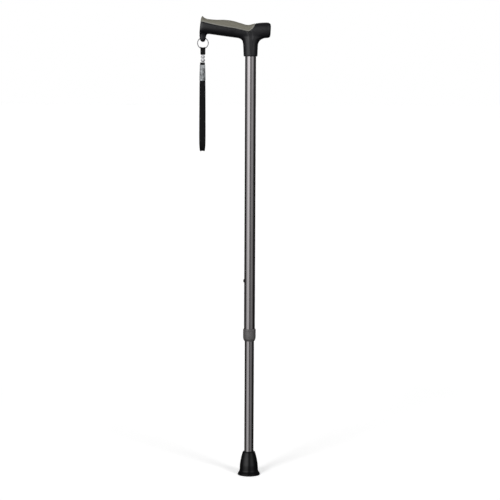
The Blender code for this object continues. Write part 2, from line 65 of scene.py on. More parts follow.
# Tubes, with the row of height holes behind the -X side
LEG_RADIUS = (leg_high.x - leg_low.x) / 2
LEG_WALL = 0.0012
SHAFT_RADIUS = (shaft_high.x - shaft_low.x) / 2
SHAFT_WALL = 0.00125
ROW_TURN = math.radians(-22.5)
BUTTON_HEIGHT = (button_low.z + button_high.z) / 2
BUTTON_RADIUS = 0.0040
BUTTON_PROUD = 0.0024
HOLE_PITCH = 0.01905
HOLES_BELOW = 3
HOLES_ABOVE = 9

# Handle
PAD_THICKNESS = 0.0034
BODY_VOXEL = 0.00055
SOCKET_TOP = shaft_high.z + GAP

# Wrist strap: the ring, the tab and the swivel hang on one line under the handle's lug
STRAP_X = (ring_low.x + ring_high.x) / 2
WEBBING_X = (hanger_low.x + hanger_high.x) / 2
RING_CENTRE = (ring_low.z + ring_high.z) / 2
RING_WIRE = 0.0017
RING_MEAN_RADIUS = (ring_high.z - ring_low.z) / 2 - RING_WIRE / 2
RING_LAYER = 0.00085
RING_LAYER_GAP = 0.00015
WEB = 0.0010                      # thickness of the short webbing pieces
TAB_WIDTH = 0.0100
TAB_THICKNESS = 0.0024
TBAR_RADIUS = 0.0008
TBAR_LENGTH = 0.0080
UPPER_TBAR = 0.8556
LOWER_TBAR = 0.8366
HANGER_WIDTH = 0.0097
HANGER_END = 0.8132
FOLD_RADIUS = TBAR_RADIUS + GAP + WEB     # outside of webbing folded round a bar
TAPE_EDGE = 0.0034                # how far past a bar the two plies come together
LOOP_WEB = 0.0013
THREAD_RADIUS = 0.00022
STITCH_ROWS = (0.8590, 0.8620)    # lower and upper row of the tab's box of stitches
STITCH_HALF_WIDTH = 0.0036
TAB_STITCH = 0.0011               # length of one stitch that shows, on the tab and on the sleeve
SLEEVE_STITCH = 0.0009


# ---------------------------------------------------------------- shape helpers

def mm(points):
    """Turn a list of tuples in millimetres into metres."""
    return [tuple(value * MM for value in point) for point in points]


def smooth_curve(points, steps):
    """Points on a Catmull-Rom curve through the given tuples, with steps between each two."""
    ends = [points[0]] + list(points) + [points[-1]]
    curve = []
    for a, b, c, d in zip(ends, ends[1:], ends[2:], ends[3:]):
        for i in range(steps):
            t = i / steps
            curve.append(tuple(
                0.5 * (2 * q + (r - p) * t + (2 * p - 5 * q + 4 * r - s) * t * t
                       + (3 * q - p - 3 * r + s) * t ** 3)
                for p, q, r, s in zip(a, b, c, d)))
    curve.append(tuple(points[-1]))
    return curve


def superellipse(count, power):
    """Points of a rounded unit square; a power of 2 is a circle."""
    unit = []
    for i in range(count):
        angle = math.tau * (i + 0.5) / count
        side, rise = math.cos(angle), math.sin(angle)
        unit.append((math.copysign(abs(side) ** (2 / power), side),
                     math.copysign(abs(rise) ** (2 / power), rise)))
    return unit


def smooth_step(low, high, value):
    t = np.clip((value - low) / (high - low), 0, 1)
    return t * t * (3 - 2 * t)


def shade(mesh, angle=35):
    mesh.shade_smooth()
    mesh.set_sharp_from_angle(angle=math.radians(angle))
    return mesh


def finish_mesh(bm, name, angle=35):
    """Turn a bmesh into a smooth-shaded mesh whose faces point out."""
    bmesh.ops.remove_doubles(bm, verts=bm.verts, dist=1e-7)
    bmesh.ops.recalc_face_normals(bm, faces=bm.faces)
    mesh = bpy.data.meshes.new(name)
    bm.to_mesh(mesh)
    bm.free()
    return shade(mesh, angle)


def lofted(name, rings, closed=False, angle=35):
    """Join rings of equally many points; a closed loft runs back to its first ring."""
    bm = bmesh.new()
    loops = [[bm.verts.new(point) for point in ring] for ring in rings]
    count = len(loops[0])
    pairs = list(zip(loops, loops[1:]))
    if closed:
        pairs.append((loops[-1], loops[0]))
    for low, high in pairs:
        for i in range(count):
            j = (i + 1) % count
            bm.faces.new((low[i], low[j], high[j], high[i]))
    if not closed:
        bm.faces.new(reversed(loops[0]))
        bm.faces.new(loops[-1])
    return finish_mesh(bm, name, angle)


def turned(name, outline, segments=96, turn=None, place=(0, 0, 0), ripple=None):
    """Turn a closed outline of (radius, height) about Z; ripple adds to the radius at (angle, height)."""
    bm = bmesh.new()
    rings = []
    for radius, height in outline:
        if radius < 1e-9:
            rings.append([bm.verts.new((0, 0, height))])
            continue
        ring = []
        for i in range(segments):
            angle = math.tau * i / segments
            reach = radius + (ripple(angle, radius, height) if ripple else 0)
            ring.append(bm.verts.new((reach * math.cos(angle), reach * math.sin(angle), height)))
        rings.append(ring)
    for low, high in zip(rings, rings[1:] + rings[:1]):
        if len(low) == 1 and len(high) == 1:
            continue
        for i in range(segments):
            j = (i + 1) % segments
            corners = [low[i % len(low)], low[j % len(low)], high[j % len(high)], high[i % len(high)]]
            bm.faces.new(list(dict.fromkeys(corners)))
    if turn is not None:
        bm.transform(turn)
    bm.transform(Matrix.Translation(place))
    return finish_mesh(bm, name)


def slab(name, outline, low, high):
    """Extrude an outline of (x, z) along Y from low to high."""
    return lofted(name, [[(x, y, z) for x, z in outline] for y in (low, high)])


def evaluated(mesh, *changes):
    """The mesh after modifiers, given as (type, settings) pairs, have been applied."""
    thing = bpy.data.objects.new("work", mesh)
    bpy.context.scene.collection.objects.link(thing)
    for kind, settings in changes:
        change = thing.modifiers.new(kind.lower(), kind)
        for key, value in settings.items():
            setattr(change, key, value)
    result = bpy.data.meshes.new_from_object(thing.evaluated_get(bpy.context.evaluated_depsgraph_get()))
    bpy.data.objects.remove(thing, do_unlink=True)
    return result


def combined(mesh, other, operation, solver="MANIFOLD"):
    """Cut, join or intersect two closed meshes."""
    tool = bpy.data.objects.new("tool", other)
    bpy.context.scene.collection.objects.link(tool)
    result = evaluated(mesh, ("BOOLEAN", {"object": tool, "operation": operation, "solver": solver}))
    bpy.data.objects.remove(tool, do_unlink=True)
    return shade(result)


def softened(mesh, voxel, rounds):
    """Rebuild a mesh on an even grid and relax it, which rounds its edges."""
    return evaluated(
        mesh, ("REMESH", {"mode": "VOXEL", "voxel_size": voxel, "use_smooth_shade": True}),
        ("SMOOTH", {"factor": 0.5, "iterations": rounds}))


def merged(name, meshes):
    """Several separate bodies in one mesh."""
    bm = bmesh.new()
    for mesh in meshes:
        bm.from_mesh(mesh)
    result = bpy.data.meshes.new(name)
    bm.to_mesh(result)
    bm.free()
    return shade(result)


def read(mesh, what):
    """The coordinates or normals of a mesh's vertices, as rows of three."""
    flat = np.empty(len(mesh.vertices) * 3, np.float32)
    mesh.vertices.foreach_get(what, flat)
    return flat.reshape(-1, 3).astype(float)


def push(mesh, amount):
    """Move each vertex along its normal by its own amount."""
    moved = read(mesh, "co") + read(mesh, "normal") * amount[:, None]
    mesh.vertices.foreach_set("co", moved.astype(np.float32).ravel())
    mesh.update()


def relax_depth(mesh, share, rounds):
    """Even out how far a surface stands out along Y, by each vertex's share from 0 to 1."""
    place = read(mesh, "co")
    ends = np.empty(len(mesh.edges) * 2, np.int32)
    mesh.edges.foreach_get("vertices", ends)
    a, b = ends.reshape(-1, 2).T
    size = len(place)
    count = np.bincount(a, minlength=size) + np.bincount(b, minlength=size)
    depth = place[:, 1]
    for _ in range(rounds):
        near = (np.bincount(a, depth[b], size) + np.bincount(b, depth[a], size)) / count
        depth += 0.5 * share * (near - depth)
    mesh.vertices.foreach_set("co", place.astype(np.float32).ravel())
    mesh.update()


def mark(mesh, name, values):
    """Store one number for each vertex, for a material to read."""
    layer = mesh.attributes.new(name, "FLOAT", "POINT")
    layer.data.foreach_set("value", np.asarray(values, np.float32))


def line_distance(points, line):
    """Distances in the XZ plane from points (x, y, z) to a line through (x, z) points."""
    flat = points[:, [0, 2]]
    best = np.full(len(flat), np.inf)
    for start, end in zip(line, line[1:]):
        start, run = np.array(start), np.array(end) - np.array(start)
        t = np.clip((flat - start) @ run / (run @ run), 0, 1)
        best = np.minimum(best, np.linalg.norm(flat - start - t[:, None] * run, axis=1))
    return best


def piece(name, mesh, finish, body, node):
    """Put a visible piece in the scene, on its body and in the place of its CAD node."""
    thing = bpy.data.objects.new(name, mesh)
    bpy.context.scene.collection.objects.link(thing)
    mesh.materials.clear()
    mesh.materials.append(finish)
    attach(thing, body)
    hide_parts(node)
    return thing


# ---------------------------------------------------------------- materials

def new_material(name, colour, roughness, metallic=0.0, **inputs):
    """A Principled material; inputs are more of the shader's own sockets, by name with _ for a space."""
    made = bpy.data.materials.new(name)
    made.use_nodes = True
    shader = made.node_tree.nodes["Principled BSDF"]
    shader.inputs["Base Color"].default_value = (*colour, 1)
    shader.inputs["Roughness"].default_value = roughness
    shader.inputs["Metallic"].default_value = metallic
    for key, value in inputs.items():
        shader.inputs[key.replace("_", " ")].default_value = value
    return made


def add(tree, kind, inputs=(), **settings):
    """Add a node; inputs maps a socket's name or number to a value or to another node's socket."""
    node = tree.nodes.new(kind)
    for key, value in settings.items():
        setattr(node, key, value)
    for key, value in dict(inputs).items():
        if isinstance(value, bpy.types.NodeSocket):
            tree.links.new(value, node.inputs[key])
        else:
            node.inputs[key].default_value = value
    return node


def maths(tree, operation, a, b=0.0):
    return add(tree, "ShaderNodeMath", {0: a, 1: b}, operation=operation).outputs[0]


def grain(tree, scale, detail=3.0, stretch=(1, 1, 1), roughness=0.5):
    """Noise in the piece's own coordinates, with scale cycles a metre."""
    place = add(tree, "ShaderNodeTexCoord").outputs["Object"]
    mapped = add(tree, "ShaderNodeMapping", {"Vector": place, "Scale": stretch}).outputs[0]
    made = add(tree, "ShaderNodeTexNoise", {
        "Vector": mapped, "Scale": scale, "Detail": detail, "Roughness": roughness})
    return made.outputs["Fac"]


def ramp(tree, value, stops):
    """A colour ramp from (position, colour) stops."""
    node = add(tree, "ShaderNodeValToRGB", {"Fac": value})
    elements = node.color_ramp.elements
    while len(elements) < len(stops):
        elements.new(0.5)
    for element, (position, colour) in zip(elements, stops):
        element.position = position
        element.color = (*colour, 1)
    return node.outputs["Color"]


def tint(colour, factor):
    return tuple(min(1.0, value * factor) for value in colour)


def paint(material, value, colour, low, high, spread=0.2):
    """Vary the base colour between low and high times its value, by a 0 to 1 pattern."""
    tree = material.node_tree
    colours = ramp(tree, value, [(0.5 - spread, tint(colour, low)), (0.5 + spread, tint(colour, high))])
    tree.links.new(colours, tree.nodes["Principled BSDF"].inputs["Base Color"])
    return colours


def roughen(material, value, low, high):
    """Vary the roughness between low and high, by a 0 to 1 pattern."""
    tree = material.node_tree
    spread = add(tree, "ShaderNodeMapRange", {"Value": value, "From Min": 0.3, "From Max": 0.7,
                                              "To Min": low, "To Max": high}).outputs[0]
    tree.links.new(spread, tree.nodes["Principled BSDF"].inputs["Roughness"])


def emboss(material, height, depth, strength=1.0):
    """Add a bump of the given depth, over any bump that is already there."""
    tree = material.node_tree
    socket = tree.nodes["Principled BSDF"].inputs["Normal"]
    inputs = {"Height": height, "Distance": depth, "Strength": strength}
    if socket.links:
        inputs["Normal"] = socket.links[0].from_socket
    tree.links.new(add(tree, "ShaderNodeBump", inputs).outputs[0], socket)


def handle_plastic():
    """Satin black moulding with a fine spark-eroded grain and faint handling wear."""
    colour = (0.0115, 0.0113, 0.0135)
    made = new_material("satin_black", colour, 0.37, Specular_IOR_Level=0.9)
    tree = made.node_tree
    paint(made, grain(tree, 90, 4), colour, 0.85, 1.2)
    roughen(made, grain(tree, 60, 5), 0.33, 0.42)
    emboss(made, grain(tree, 2600, 2), 0.00003, 0.4)
    return made


def pad_rubber():
    """Soft grey elastomer: a matt grained field inside a smooth moulded rim, whose paler colour is a painted
    highlight.
    """
    colour = (0.215, 0.205, 0.168)
    # The rim's paler colour is a painted highlight along the pad's seam with the handle, not a different
    # rubber.
    painted_highlight_rim_colour = (0.30, 0.295, 0.265)
    made = new_material("soft_grey", colour, 0.62, Specular_IOR_Level=0.3)
    tree = made.node_tree
    shader = tree.nodes["Principled BSDF"]
    fine = grain(tree, 1500, 3, (0.4, 1, 1))
    field = paint(made, fine, colour, 0.86, 1.12, 0.25)
    rim = add(tree, "ShaderNodeAttribute", attribute_name="rim").outputs["Fac"]
    mixed = add(tree, "ShaderNodeMix", {"Factor": rim}, data_type="RGBA")
    tree.links.new(field, mixed.inputs["A"])
    mixed.inputs["B"].default_value = (*painted_highlight_rim_colour, 1)
    tree.links.new(mixed.outputs["Result"], shader.inputs["Base Color"])
    roughen(made, grain(tree, 120, 4), 0.55, 0.70)
    emboss(made, fine, 0.00006, 0.6)
    return made


def anodised(name, colour, roughness):
    """Anodised drawn tube: faint draw lines along it and slow changes of tone."""
    made = new_material(name, colour, roughness, 1.0)
    tree = made.node_tree
    lines = grain(tree, 900, 3, (1, 1, 0.012))
    paint(made, lines, colour, 0.94, 1.06)
    roughen(made, grain(tree, 160, 4, (1, 1, 0.08)), roughness - 0.03, roughness + 0.05)
    emboss(made, lines, 0.000005, 0.4)
    return made


def collar_nylon():
    """Charcoal nylon with a coarse moulded grain."""
    colour = (0.118, 0.112, 0.113)
    made = new_material("grained_charcoal", colour, 0.38, Specular_IOR_Level=0.8)
    tree = made.node_tree
    coarse = grain(tree, 900, 3)
    paint(made, coarse, colour, 0.55, 1.5, 0.16)
    emboss(made, grain(tree, 2200, 2), 0.00006, 0.6)
    return made


def foot_rubber():
    """Glossy moulded black rubber with faint scuffs."""
    colour = (0.0035, 0.0035, 0.0040)
    made = new_material("black_rubber", colour, 0.16, Specular_IOR_Level=0.42)
    tree = made.node_tree
    roughen(made, grain(tree, 220, 5), 0.10, 0.22)
    paint(made, grain(tree, 60, 5), colour, 0.8, 1.6)
    emboss(made, grain(tree, 1200, 3), 0.00002, 0.4)
    return made


def plated(name, colour, roughness, metallic=1.0):
    """Plated metal with light handling marks."""
    made = new_material(name, colour, roughness, metallic)
    tree = made.node_tree
    roughen(made, grain(tree, 700, 4), roughness - 0.04, roughness + 0.08)
    emboss(made, grain(tree, 1500, 3), 0.000008, 0.3)
    return made


def webbing(name, colour, pitch):
    """Woven tape, laid out by the piece's own across and along values in metres."""
    made = new_material(name, colour, 0.75, Specular_IOR_Level=0.25, Sheen_Weight=0.08, Sheen_Roughness=0.4)
    tree = made.node_tree
    turns = math.tau / pitch
    across, along = (add(tree, "ShaderNodeAttribute", attribute_name=key).outputs["Fac"]
                     for key in ("across", "along"))
    across = maths(tree, "MULTIPLY", across, turns)
    along = maths(tree, "MULTIPLY", along, turns / 2)
    warp = maths(tree, "SINE", maths(tree, "ADD", across, along))
    weft = maths(tree, "SINE", maths(tree, "SUBTRACT", across, along))
    weave = maths(tree, "MULTIPLY", maths(tree, "ADD", maths(tree, "MULTIPLY", warp, weft), 1.0), 0.5)
    fuzz = grain(tree, 2500, 3)
    paint(made, maths(tree, "MULTIPLY", maths(tree, "ADD", weave, fuzz), 0.5), colour, 0.5, 1.8, 0.3)
    emboss(made, weave, 0.00012, 0.8)
    emboss(made, fuzz, 0.00004, 0.4)
    return made


def reflective_cloth():
    """Silver glass-bead cloth: creased and faintly sparkling, mottled by painted shade in the creases'
    hollows and painted highlight on their crests.
    """
    colour = (0.34, 0.355, 0.365)
    made = new_material("silver_cloth", colour, 0.42, 0.35, Specular_IOR_Level=0.5)
    tree = made.node_tree
    creases_and_painted_shade = grain(tree, 210, 4, (1, 1, 0.6), 0.6)
    # The colour follows the crease bump: darker in the hollows as painted shade, lighter on the crests as
    # painted highlight.
    paint(made, creases_and_painted_shade, colour, 0.35, 1.9, 0.12)
    emboss(made, creases_and_painted_shade, 0.0008, 0.8)
    emboss(made, grain(tree, 3800, 2), 0.00005, 0.6)
    return made


def moulded(name, colour, roughness):
    """A plain moulded plastic with slow changes of tone."""
    made = new_material(name, colour, roughness)
    tree = made.node_tree
    paint(made, grain(tree, 200, 3), colour, 0.85, 1.15)
    emboss(made, grain(tree, 1800, 2), 0.00002, 0.4)
    return made


def spun_thread():
    made = new_material("black_thread", (0.028, 0.028, 0.03), 0.6, Sheen_Weight=0.2)
    emboss(made, grain(made.node_tree, 6000, 2), 0.00004, 0.6)
    return made


SATIN_BLACK = handle_plastic()
SOFT_GREY = pad_rubber()
SMOKE_METAL = anodised("smoke_anodised", (0.50, 0.475, 0.485), 0.17)
CHARCOAL = collar_nylon()
RUBBER = foot_rubber()
NICKEL = plated("polished_nickel", (0.95, 0.95, 0.97), 0.26, 0.4)
RING_STEEL = plated("ring_steel", (0.40, 0.40, 0.42), 0.22)
DARK_STEEL = plated("blackened_steel", (0.10, 0.10, 0.105), 0.3)
SPRING_STEEL = plated("spring_steel", (0.5, 0.5, 0.52), 0.3)
ZINC = plated("zinc", (0.6, 0.62, 0.63), 0.4)
BLACK_TAPE = webbing("black_webbing", (0.0065, 0.0065, 0.0070), 0.0011)
SILVER = reflective_cloth()
BLACK_NYLON = moulded("black_nylon", (0.02, 0.02, 0.02), 0.5)
PALE_ACETAL = moulded("pale_acetal", (0.6, 0.6, 0.57), 0.45)
THREAD = spun_thread()


# ---------------------------------------------------------------- camera, lights and floor

def add_camera():
    """The whole cane from its side, seen from below the handle, looking down and leaning a little."""
    height, distance, pitch, roll = 0.82, 3.55, 5.763, 0.257
    lens = bpy.data.cameras.new("camera")
    lens.sensor_width = 36
    lens.lens = 127
    camera = bpy.data.objects.new("camera", lens)
    bpy.context.scene.collection.objects.link(camera)
    camera.location = (0.0005, -distance, height)
    tilt = Matrix.Rotation(math.radians(90 - pitch), 4, "X")
    lean = Matrix.Rotation(math.radians(roll), 4, "Z")
    camera.rotation_euler = (tilt @ lean).to_euler()
    bpy.context.scene.camera = camera


def add_floor():
    """A pale floor that only the camera sees, so that it doesn't light the cane from below."""
    half, drop = 40, 0.0004
    mesh = bpy.data.meshes.new("floor")
    corners = [(-half, -half, -drop), (half, -half, -drop), (half, half, -drop), (-half, half, -drop)]
    mesh.from_pydata(corners, [], [(0, 1, 2, 3)])
    floor = bpy.data.objects.new("floor", mesh)
    bpy.context.scene.collection.objects.link(floor)
    floor.visible_glossy = False
    floor.visible_diffuse = False
    floor.visible_shadow = False
    mesh.materials.append(new_material(
        "floor_white", (0.9, 0.9, 0.9), 0.9, Specular_IOR_Level=0.0,
        Emission_Color=(1, 1, 1, 1), Emission_Strength=0.51))


def add_sun(name, azimuth, elevation, strength, spread, shadow=True):
    """A soft light from an azimuth counted from the camera's side towards +X."""
    lamp = bpy.data.lights.new(name, "SUN")
    lamp.energy = strength
    lamp.angle = math.radians(spread)
    lamp.use_shadow = shadow
    sun = bpy.data.objects.new(name, lamp)
    bpy.context.scene.collection.objects.link(sun)
    around, rise = math.radians(azimuth), math.radians(elevation)
    source = Vector((math.sin(around) * math.cos(rise), -math.cos(around) * math.cos(rise), math.sin(rise)))
    sun.rotation_euler = source.to_track_quat("Z", "Y").to_euler()
    sun.visible_glossy = False


# The studio's two banks of soft boxes: brightness by azimuth in degrees, from the camera's side towards
# +X, and the share of it that is left at the upward part of the direction. Each bank also holds half of a
# narrow box behind the cane, so that the cane isn't black from behind.
LEFT_AROUND = [
    (-180, 1.3), (-166, 1.1), (-154, 0.04), (-110, 0.05), (-95, 0.06), (-84, 0.20), (-72, 0.52), (-58, 1.05),
    (-45, 1.45), (-25, 1.55), (-14, 1.25), (-8, 0.58), (-3, 0.20), (4, 0.0)]
LEFT_UP = [
    (-1.0, 0.02), (-0.5, 0.06), (-0.3, 0.30), (-0.21, 0.46), (-0.15, 0.46), (-0.133, 0.44), (-0.113, 0.48),
    (-0.085, 0.61), (-0.057, 0.71), (-0.032, 0.85), (-0.015, 1.0), (0.25, 1.0), (0.45, 0.45), (0.7, 0.12),
    (1.0, 0.04)]
RIGHT_AROUND = [
    (-8, 0.0), (-3, 0.09), (4, 0.18), (14, 0.20), (22, 0.46), (34, 0.64), (52, 0.55), (66, 0.26), (80, 0.04),
    (154, 0.02), (166, 1.1), (180, 1.3)]
RIGHT_UP = [
    (-1.0, 0.02), (-0.5, 0.06), (-0.3, 0.30), (-0.21, 0.45), (-0.133, 0.39), (-0.113, 0.40), (-0.085, 0.44),
    (-0.057, 0.61), (-0.03, 1.0), (0.25, 1.0), (0.45, 0.45), (0.7, 0.12), (1.0, 0.04)]


def add_world():
    """White for the camera; for the cane, a studio of soft boxes and dark cards."""
    world = bpy.data.worlds.new("studio")
    bpy.context.scene.world = world
    world.use_nodes = True
    tree = world.node_tree
    tree.nodes.clear()
    heading = add(tree, "ShaderNodeSeparateXYZ", {0: add(tree, "ShaderNodeTexCoord").outputs["Generated"]})
    x, y, z = heading.outputs
    azimuth = maths(tree, "ARCTAN2", x, maths(tree, "MULTIPLY", y, -1.0))
    around = maths(tree, "ADD", maths(tree, "DIVIDE", azimuth, math.tau), 0.5)
    upward = maths(tree, "MULTIPLY", maths(tree, "ADD", z, 1.0), 0.5)
    brightest = max(level for _, level in LEFT_AROUND + RIGHT_AROUND)

    def bank(levels, fall):
        boxes = ramp(tree, around, [(angle / 360 + 0.5, (level / brightest,) * 3) for angle, level in levels])
        share = ramp(tree, upward, [(height / 2 + 0.5, (level,) * 3) for height, level in fall])
        return add(tree, "ShaderNodeVectorMath", {0: boxes, 1: share}, operation="MULTIPLY").outputs[0]
    both = {0: bank(LEFT_AROUND, LEFT_UP), 1: bank(RIGHT_AROUND, RIGHT_UP)}
    light = add(tree, "ShaderNodeVectorMath", both, operation="ADD").outputs[0]
    studio = add(tree, "ShaderNodeBackground", {"Color": light, "Strength": brightest})
    white = add(tree, "ShaderNodeBackground", {"Color": (1, 1, 1, 1), "Strength": 1.0})
    seen = add(tree, "ShaderNodeLightPath").outputs["Is Camera Ray"]
    choice = add(tree, "ShaderNodeMixShader", {0: seen, 1: studio.outputs[0], 2: white.outputs[0]})
    add(tree, "ShaderNodeOutputWorld", {0: choice.outputs[0]})


add_camera()
add_floor()
add_world()
add_sun("key_left", -28, 35, 1.15, 14)
add_sun("key_right", 34, 35, 1.05, 14)
add_sun("fill_behind", 178, 9, 0.9, 20, shadow=False)
bpy.context.scene.view_settings.view_transform = "Standard"


# ---------------------------------------------------------------- wrist loop, a flat cord

# The loop's side view as (y, z) in millimetres, from 10 mm up inside the sleeve to its lowest point.
LOOP_SIDE = [
    (-0.8, 812.6), (-0.85, 808), (-0.95, 802.4), (-1.25, 799.6), (-2.3, 793), (-5.4, 778), (-9.2, 760),
    (-13.2, 738), (-16.2, 716), (-17.8, 698), (-17.4, 684), (-14.2, 672), (-8.4, 664.6), (0, 662.4)]
# The webbing's half width and how far its edges curl outwards, at the same points.
LOOP_HALF_WIDTHS = [5.2, 5.25, 5.4, 5.9, 5.95, 6.0, 6.0, 6.05, 6.05, 6.05, 6.0, 5.75, 5.1, 4.6]
LOOP_CURL = [0, 0, 0, -0.2, -0.4, -0.5, -0.6, -0.6, -0.6, -0.5, -0.3, 0.2, 0.8, 1.1]


def tape_section(thickness, curl, half, count=12):
    """A flat tape's section as (across, out) points, with rounded selvedges; out is its outer face."""
    radius = thickness / 2
    upper = []
    for i in range(count + 1):
        share = 2 * i / count - 1
        across = share * (half - radius * 0.6)
        thin = 0.62 if i in (0, count) else 1.0
        upper.append((across, curl * share ** 2, radius * thin))
    section = [(across, rise + up) for across, rise, up in upper] + [(half, curl)]
    section += [(across, rise - up) for across, rise, up in reversed(upper)] + [(-half, curl)]
    return section


def tape(name, route, across, thickness):
    """Sweep a tape along a route of (place, out, half width, curl)."""
    rings, sides, lengths = [], [], []
    walked = 0.0
    for i, (place, out, half, curl) in enumerate(route):
        if i:
            walked += (place - route[i - 1][0]).length
        section = tape_section(thickness, curl, half)
        rings.append([place + across * a + out * b for a, b in section])
        sides += [a for a, _ in section]
        lengths += [walked] * len(section)
    mesh = lofted(name, rings, angle=50)
    mark(mesh, "across", sides)
    mark(mesh, "along", lengths)
    return mesh


def loop_route(steps):
    """The loop's points with their outward direction, half width and curl."""
    half = [(y, z, width, curl) for (y, z), width, curl in zip(LOOP_SIDE, LOOP_HALF_WIDTHS, LOOP_CURL)]
    back = [(-y, z, width, curl) for y, z, width, curl in reversed(half[:-1])]
    curve = smooth_curve(mm(half + back), steps)
    route = []
    for i, (y, z, width, curl) in enumerate(curve):
        before, after = curve[max(i - 1, 0)], curve[min(i + 1, len(curve) - 1)]
        along = Vector((0, after[0] - before[0], after[1] - before[1])).normalized()
        out = Vector((0, along.z, -along.y))
        route.append((Vector((WEBBING_X, y, z)), out, width, curl))
    return route


def add_wrist_loop():
    route = loop_route(6)
    mesh = tape("wrist_loop_webbing", route, Vector((1, 0, 0)), LOOP_WEB)
    loop = piece("wrist_loop_webbing", mesh, BLACK_TAPE, "strap", "wrist_loop")


add_wrist_loop()


# ---------------------------------------------------------------- leg, shaft, collar and foot

def facing_row(height):
    """Turns a shape made round Z to lie round the button's line, pointing outwards at a height."""
    outward = Matrix.Rotation(math.radians(-90), 4, "Y")
    return Matrix.Translation((0, 0, height)) @ Matrix.Rotation(ROW_TURN, 4, "Z") @ outward


def hole_cutter(height, inner, outer):
    radius = BUTTON_RADIUS + GAP
    outline = [(0, inner), (radius, inner), (radius, outer), (0, outer)]
    return turned("hole", outline, 40, facing_row(height))


def tube(name, outer, wall, low, high, rows, holes):
    """A tube with chamfered ends and round holes; rows are extra rings that keep the holes' faces small."""
    inner, bevel, past = outer - wall, 0.0003, 0.003
    outline = [(inner, low + bevel), (inner + bevel, low), (outer - bevel, low), (outer, low + bevel)]
    outline += [(outer, z) for z in rows]
    outline += [(outer, high - bevel), (outer - bevel, high), (inner + bevel, high), (inner, high - bevel)]
    outline += [(inner, z) for z in reversed(rows)]
    mesh = turned(name, outline, 96)
    cutters = merged("holes", [hole_cutter(height, inner - past, outer + past) for height in holes])
    return combined(mesh, cutters, "DIFFERENCE")


def add_lower_tube():
    rows = [BUTTON_HEIGHT + step * HOLE_PITCH / 3 for step in (-2, 0, 2)]
    mesh = tube("leg_tube", LEG_RADIUS, LEG_WALL, leg_low.z, leg_high.z, rows, [BUTTON_HEIGHT])
    piece("leg_tube", mesh, SMOKE_METAL, "leg", "lower_tube")


def add_upper_tube():
    holes = [BUTTON_HEIGHT + step * HOLE_PITCH for step in range(-HOLES_BELOW, HOLES_ABOVE + 1)]
    rows = [BUTTON_HEIGHT + step * HOLE_PITCH / 3
            for step in range(-3 * HOLES_BELOW - 2, 3 * HOLES_ABOVE + 3)]
    mesh = tube("shaft_tube", SHAFT_RADIUS, SHAFT_WALL, shaft_low.z, shaft_high.z, rows, holes)
    piece("shaft_tube", mesh, SMOKE_METAL, "upper", "upper_tube")


def add_button():
    """A domed pin with a rounded rim, and a flange inside the leg."""
    tip = SHAFT_RADIUS + BUTTON_PROUD
    dome = [(BUTTON_RADIUS * math.sin(a), tip - 0.0019 * (1 - math.cos(a)))
            for a in (math.radians(step * 7.5) for step in range(13))]
    flange = mm([(4.0, 6.2), (5.0, 6.2), (5.0, 5.4), (0, 5.4)])
    piece("button_pin", turned("button_pin", dome + flange, 48, facing_row(BUTTON_HEIGHT)),
          DARK_STEEL, "button", "snap_button")


def collar_ripple(angle, radius, height):
    """The moulded grain of the collar's grip band."""
    band = (height - collar_low.z) / (collar_high.z - collar_low.z)
    share = float(smooth_step(0.2, 0.28, band) * (1 - smooth_step(0.80, 0.86, band)))
    cell, depth, shell_radius = 0.0011, 0.00022, 0.0118
    place = Vector((radius * math.cos(angle), radius * math.sin(angle), height * 0.9)) / cell
    return share * depth * perlin.noise(place) if radius > shell_radius else 0.0


def add_collar():
    bore = SHAFT_RADIUS + GAP
    inner = LEG_RADIUS + GAP
    chamfer = smooth_curve(mm([(10.2, 276.2), (10.9, 276.9), (12.2, 279.9), (12.65, 282.0)]), 4)
    band = [(0.01265 + 0.0002 * math.sin(math.pi * step / 36), 0.2822 + step * 0.0004) for step in range(37)]
    top = smooth_curve(mm([(12.75, 297.2), (12.9, 297.6), (12.9, 299.0), (12.5, 300.4), (11.9, 301.2)]), 4)
    inside = [(bore, collar_high.z), (bore, 0.2825), (inner + 0.0002, 0.2778), (inner, collar_low.z)]
    mesh = turned("collar_shell", chamfer + band + top + inside, 200, ripple=collar_ripple)
    piece("collar_shell", mesh, CHARCOAL, "collar", "locking_collar")


def add_foot():
    """A bell-shaped ferrule with a flared lip, a turned-in rim and ring treads."""
    tread = mm([(0, 0), (7, 0), (7.6, 1.6), (10.4, 1.6), (11, 0), (15, 0), (15.6, 1.6), (18.4, 1.6),
                (19, 0), (22.0, 0)])
    lip = smooth_curve(mm([(22.0, 0), (22.6, 0.25), (22.9, 0.9), (22.8, 2.0), (21.6, 4.6), (19.8, 7.4),
                           (18.9, 10)]), 6)[1:-1]
    bell = smooth_curve(mm([(18.9, 10), (18.3, 21.3), (16.2, 33.8), (13.1, 45.6)]), 12)
    rim = smooth_curve(mm([(13.1, 45.6), (12.4, 47.5), (11.6, 48.4), (10.8, 48.7)]), 4)[1:]
    socket = LEG_RADIUS + GAP
    inside = [(socket + 0.0004, foot_high.z), (socket, foot_high.z - 0.0006), (socket, 0.010), (0, 0.010)]
    piece("foot_rubber", turned("foot_rubber", tread + lip + bell + rim + inside, 144), RUBBER,
          "leg", "foot_tip")


def refinish(node, finish):
    """Give a CAD node that keeps its shape a better material."""
    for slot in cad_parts[node].material_slots:
        slot.material = finish


add_lower_tube()
add_upper_tube()
add_button()
add_collar()
add_foot()
refinish("glide_plug", BLACK_NYLON)
refinish("foot_washer", ZINC)
refinish("button_spring", SPRING_STEEL)
refinish("collar_bushing", PALE_ACETAL)


# ---------------------------------------------------------------- handle

